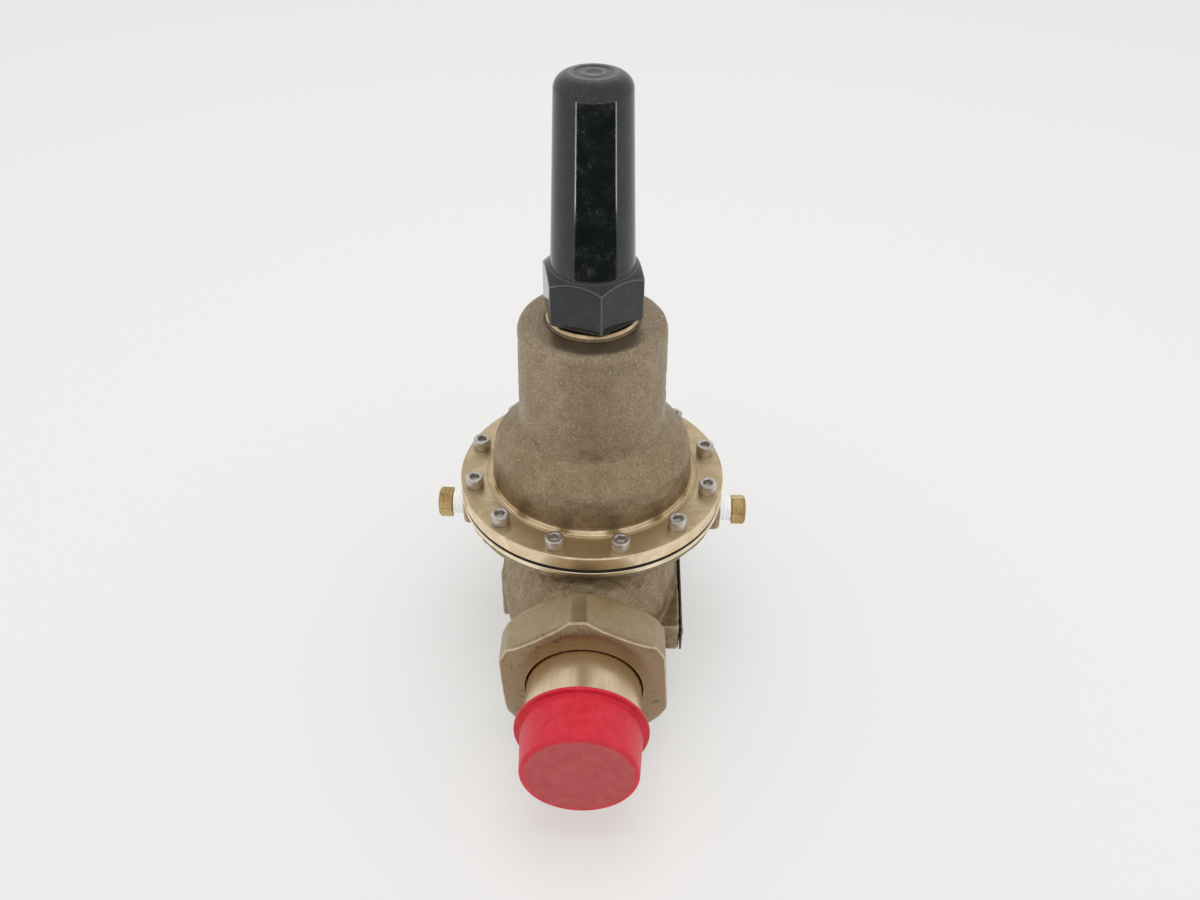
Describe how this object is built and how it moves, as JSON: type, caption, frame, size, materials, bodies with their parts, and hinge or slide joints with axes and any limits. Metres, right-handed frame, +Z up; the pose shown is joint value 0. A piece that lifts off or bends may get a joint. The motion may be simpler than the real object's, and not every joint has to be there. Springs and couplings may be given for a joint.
{
  "type": "pressure reducing valve",
  "caption": "Direct-acting diaphragm pressure reducing valve: cast bronze body, spring bonnet, tall black sealing cap, bolted flange, union inlet with red thread protector.",
  "frame": {"origin": "centre of the bottom plug's flat face, on the stem axis, where the valve stands", "axes": "+Z up along the stem towards the sealing cap; +Y along the flow, from the inlet union towards the outlet; +X to the side of the name plate"},
  "size_m": [0.177, 0.2557, 0.3368],
  "materials": {
    "cast_bronze": "sand-cast bronze, dull",
    "nut_bronze": "sand-cast bronze, satin with bright worn edges",
    "machined_brass": "fine turned",
    "plug_brass": "machined, satin",
    "stainless": "satin",
    "spring_steel": "plain",
    "black_plastic": "glossy moulded",
    "black_rubber": "matt",
    "red_plastic": "soft moulded, satin",
    "white_tape": "wrapped tape, matt",
    "name_plate": "satin"
  },
  "bodies": {
    "valve_body": {"body": "cast_bronze", "bonnet": "cast_bronze", "flange_screw_01": "stainless", "flange_screw_02": "stainless", "flange_screw_03": "stainless", "flange_screw_04": "stainless", "flange_screw_05": "stainless", "flange_screw_06": "stainless", "flange_screw_07": "stainless", "flange_screw_08": "stainless", "flange_screw_09": "stainless", "flange_screw_10": "stainless", "flange_screw_11": "stainless", "flange_screw_12": "stainless", "diaphragm": "black_rubber", "seat_ring": "stainless", "bottom_plug": "plug_brass", "bottom_gasket": "black_rubber", "strainer_screen": "stainless", "range_spring": "spring_steel", "cap_gasket": "black_rubber", "union_gasket": "black_rubber", "gauge_plug_left": "plug_brass", "gauge_plug_right": "plug_brass", "thread_tape_left": "white_tape", "thread_tape_right": "white_tape", "name_plate": "name_plate", "plate_pin_1": "stainless", "plate_pin_2": "stainless"},
    "stem_assembly": {"stem": "stainless", "diaphragm_plate": "cast_bronze", "diaphragm_washer": "machined_brass", "stem_nut": "stainless", "disc_holder": "machined_brass", "valve_disc": "black_rubber", "disc_retainer": "stainless", "disc_nut": "stainless"},
    "spring_button": {"spring_button": "spring_steel"},
    "adjusting_screw": {"adjusting_screw": "machined_brass"},
    "lock_nut": {"lock_nut": "plug_brass"},
    "sealing_cap": {"sealing_cap": "black_plastic"},
    "union_tailpiece": {"union_tailpiece": "machined_brass"},
    "union_nut": {"union_nut": "nut_bronze"},
    "thread_protector": {"thread_protector": "red_plastic"}
  },
  "joints": [
    {"name": "stem_slide", "type": "slide", "parent": "valve_body", "child": "stem_assembly", "axis": [0, 0, 1], "range_m": [0, 0.0075], "stiffness_N_per_m": 500, "springref_m": -0.004, "deforming": ["range_spring", "diaphragm"]},
    {"name": "spring_button_slide", "type": "slide", "parent": "valve_body", "child": "spring_button", "axis": [0, 0, 1], "range_m": [-0.01, 0.008]},
    {"name": "adjusting_screw_turn", "type": "hinge", "parent": "spring_button", "child": "adjusting_screw", "pos_m": [0, 0, 0.2], "axis": [0, 0, 1], "range_deg": [-1801, 1441]},
    {"name": "lock_nut_turn", "type": "hinge", "parent": "valve_body", "child": "lock_nut", "pos_m": [0, 0, 0.2325], "axis": [0, 0, 1], "range_deg": [0, 180]},
    {"name": "sealing_cap_lift", "type": "slide", "parent": "valve_body", "child": "sealing_cap", "axis": [0, 0, 1], "range_m": [0, 0.095]},
    {"name": "union_tailpiece_pull", "type": "slide", "parent": "valve_body", "child": "union_tailpiece", "axis": [0, -1, 0], "range_m": [0, 0.05]},
    {"name": "union_nut_turn", "type": "hinge", "parent": "union_tailpiece", "child": "union_nut", "pos_m": [0, -0.095, 0.0535], "axis": [0, 1, 0], "continuous": true},
    {"name": "thread_protector_pull", "type": "slide", "parent": "union_tailpiece", "child": "thread_protector", "axis": [0, -1, 0], "range_m": [0, 0.04]}
  ],
  "couplings": [
    {"joint": "adjusting_screw_turn", "follows": "spring_button_slide", "rad_per_m": 3141.6}
  ]
}
